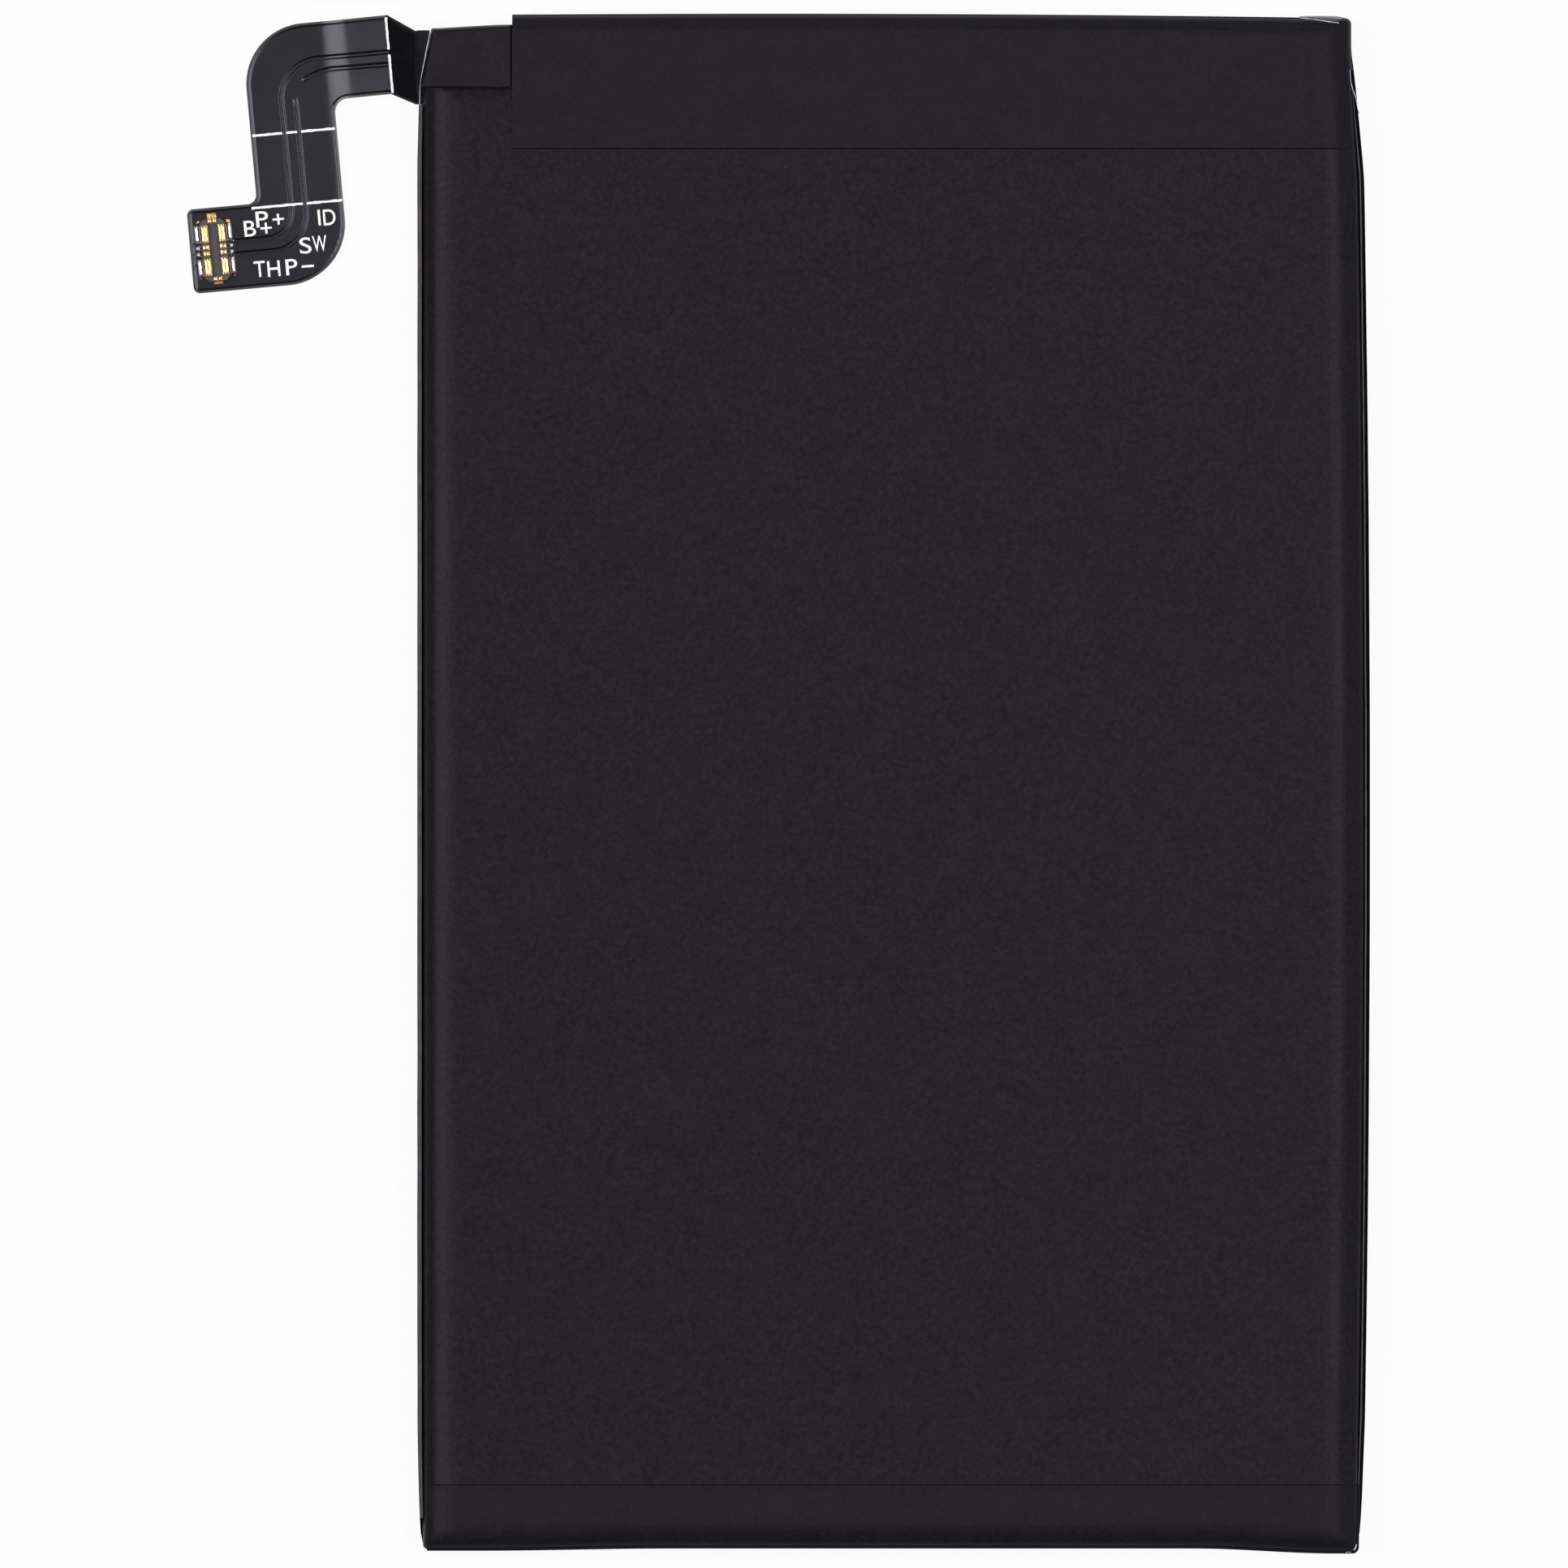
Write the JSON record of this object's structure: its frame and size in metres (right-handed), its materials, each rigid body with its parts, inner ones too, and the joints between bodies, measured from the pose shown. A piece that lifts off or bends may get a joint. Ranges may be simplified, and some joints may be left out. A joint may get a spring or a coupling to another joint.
{
  "type": "mobile phone battery",
  "caption": "Soft-pack phone battery: a dark foil pouch closed with black tapes, and a bent flexible circuit with a small board-to-board connector",
  "frame": {"origin": "middle of the pouch cell's back plane, which the pack lies on", "axes": "+X across the pack, the flexible circuit is on -X; +Y along the pack to the board end; +Z out of the front face"},
  "size_m": [0.0748, 0.097, 0.0049],
  "materials": {
    "pouch_foil": "satin dark laminate",
    "black_tape": "satin film with a fine grain",
    "foam": "matte",
    "moulded_black": "matte moulded",
    "board_laminate": "solder mask",
    "chip_epoxy": "matte",
    "chip_ceramic": "matte",
    "nickel": "rolled",
    "tab_aluminium": "rolled",
    "tab_film": "translucent film",
    "cover_film": "satin black cover film",
    "stainless": "rolled",
    "connector_plastic": "satin moulded",
    "gold_plating": "gold plated, satin",
    "solder": "reflowed solder"
  },
  "bodies": {
    "root": {"pouch_cell": "pouch_foil", "top_tape": "black_tape", "bottom_tape": "black_tape", "corner_tape": "black_tape", "foam_spacer": "foam", "carrier_strip": "foam", "board_carrier": "moulded_black", "protection_board": "board_laminate", "switch_transistors": "chip_epoxy", "protection_ic": "chip_epoxy", "cell_fuse": "chip_epoxy", "thermistor": "chip_ceramic", "chip_resistors": "chip_ceramic", "chip_capacitors": "chip_ceramic", "weld_plate_positive": "nickel", "weld_plate_negative": "nickel", "positive_tab": "tab_aluminium", "negative_tab": "nickel", "tab_seal_positive": "tab_film", "tab_seal_negative": "tab_film", "flex_circuit": "cover_film", "flex_sleeve": "black_tape", "connector_stiffener": "stainless", "connector_housing": "connector_plastic", "power_contact_1": "gold_plating", "power_contact_2": "gold_plating", "power_contact_3": "gold_plating", "power_contact_4": "gold_plating", "signal_contact_1": "gold_plating", "signal_contact_2": "gold_plating", "signal_contact_3": "gold_plating", "signal_contact_4": "gold_plating", "end_clip_upper": "gold_plating", "end_clip_lower": "gold_plating", "solder_joints": "solder"}
  },
  "joints": []
}
